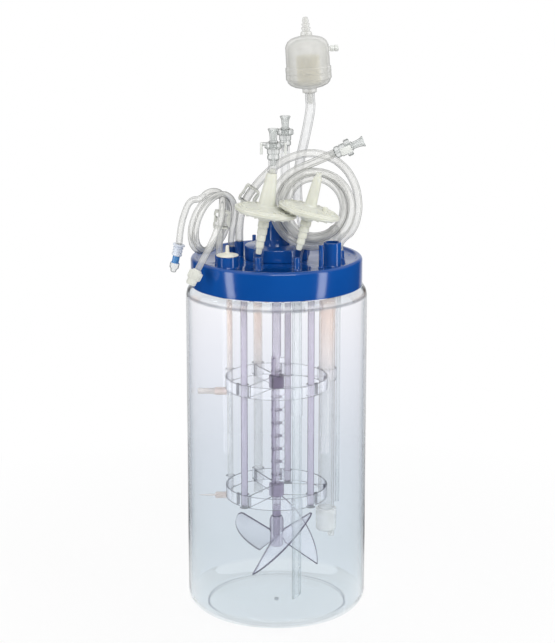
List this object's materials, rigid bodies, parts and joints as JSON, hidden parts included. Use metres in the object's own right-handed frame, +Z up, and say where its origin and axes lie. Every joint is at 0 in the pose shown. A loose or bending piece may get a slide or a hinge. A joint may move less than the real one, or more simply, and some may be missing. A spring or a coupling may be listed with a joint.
{
  "type": "bench bioreactor",
  "caption": "Clear stirred bench vessel with a blue head plate, drive hub, pitched impeller on a caged shaft, dip tubes, sparger, disc and capsule gas filters, and coiled tubing.",
  "frame": {"origin": "on the vessel's axis, in the plane that the vessel stands on", "axes": "+Z up along the vessel's axis, front is -Y, where the capped port and the disc filters are"},
  "size_m": [0.195, 0.18, 0.5968],
  "materials": {
    "clear_moulding": "clear moulded, glossy",
    "smoky_moulding": "smoky lavender, glossy",
    "blue_moulding": "glossy blue",
    "cream_moulding": "satin cream",
    "white_moulding": "satin white",
    "milky_moulding": "milky, translucent",
    "clear_tubing": "clear, flexible",
    "blue_valve": "satin blue",
    "magnet": "dark, satin"
  },
  "bodies": {
    "reactor": {"vessel": "clear_moulding", "ring_upper": "clear_moulding", "ring_lower": "clear_moulding", "gas_line": "clear_moulding", "harvest_tube": "clear_moulding", "tube_clip_upper": "clear_moulding", "tube_clip_lower": "clear_moulding", "luer_left_body": "clear_moulding", "luer_back_body": "clear_moulding", "luer_right_body": "clear_moulding", "bush_upper": "smoky_moulding", "bush_lower": "smoky_moulding", "rod_front_left": "smoky_moulding", "rod_front_right": "smoky_moulding", "rod_back": "smoky_moulding", "head_plate": "blue_moulding", "drive_housing": "blue_moulding", "dip_tube_left": "cream_moulding", "dip_tube_back": "cream_moulding", "sparger_tube": "cream_moulding", "side_sleeve_upper": "cream_moulding", "side_tube_upper": "cream_moulding", "side_sleeve_lower": "cream_moulding", "side_pin_lower": "cream_moulding", "filter_left_housing": "cream_moulding", "filter_right_housing": "cream_moulding", "capsule_cartridge": "cream_moulding", "bearing_lower": "white_moulding", "bearing_upper": "white_moulding", "filter_left_membrane": "white_moulding", "filter_right_membrane": "white_moulding", "sparger_foot": "white_moulding", "loop_clamp": "white_moulding", "coil_clamp": "white_moulding", "capsule_housing": "milky_moulding", "filter_left_tube": "clear_tubing", "filter_right_tube": "clear_tubing", "filter_left_stem": "clear_tubing", "addition_pipe": "clear_tubing", "exhaust_riser": "clear_tubing", "coil_right": "clear_tubing", "coil_right_lead": "clear_tubing", "coil_right_tail": "clear_tubing", "loop_line": "clear_tubing", "coil_left": "clear_tubing", "coil_left_lead": "clear_tubing", "coil_left_tail": "clear_tubing", "sample_line": "clear_tubing", "check_valve": "blue_valve"},
    "stirrer": {"stirrer_shaft": "smoky_moulding", "stop_collar": "smoky_moulding", "impeller": "smoky_moulding", "rotor_magnet": "magnet"},
    "port_cap": {"port_cap": "cream_moulding"},
    "left_ring": {"luer_left_ring": "clear_moulding"},
    "back_ring": {"luer_back_ring": "clear_moulding"},
    "right_ring": {"luer_right_ring": "clear_moulding"},
    "line_cap": {"luer_cap": "white_moulding"},
    "vent_cap": {"vent_cap": "white_moulding"}
  },
  "joints": [
    {"name": "stirrer_spin", "type": "hinge", "parent": "reactor", "child": "stirrer", "pos_m": [0, 0, 0.2], "axis": [0, 0, 1], "continuous": true},
    {"name": "port_cap_lift", "type": "slide", "parent": "reactor", "child": "port_cap", "axis": [0, 0, 1], "range_m": [0, 0.012]},
    {"name": "left_ring_turn", "type": "hinge", "parent": "reactor", "child": "left_ring", "pos_m": [-0.00294, -0.05945, 0.4815], "axis": [0, 0, 1], "continuous": true},
    {"name": "back_ring_turn", "type": "hinge", "parent": "reactor", "child": "back_ring", "pos_m": [0.0086, 0.045, 0.4797], "axis": [0, 0, 1], "continuous": true},
    {"name": "right_ring_turn", "type": "hinge", "parent": "reactor", "child": "right_ring", "pos_m": [0.0565, -0.0331, 0.4704], "axis": [0.9219, 0, 0.3875], "continuous": true},
    {"name": "line_cap_pull", "type": "slide", "parent": "reactor", "child": "line_cap", "axis": [-0.463, -0.174, -0.8691], "range_m": [0, 0.01]},
    {"name": "vent_cap_turn", "type": "hinge", "parent": "reactor", "child": "vent_cap", "pos_m": [0.02971, 0.008, 0.56491], "axis": [0.9979, 0, 0.0645], "range_deg": [0, 180]}
  ]
}
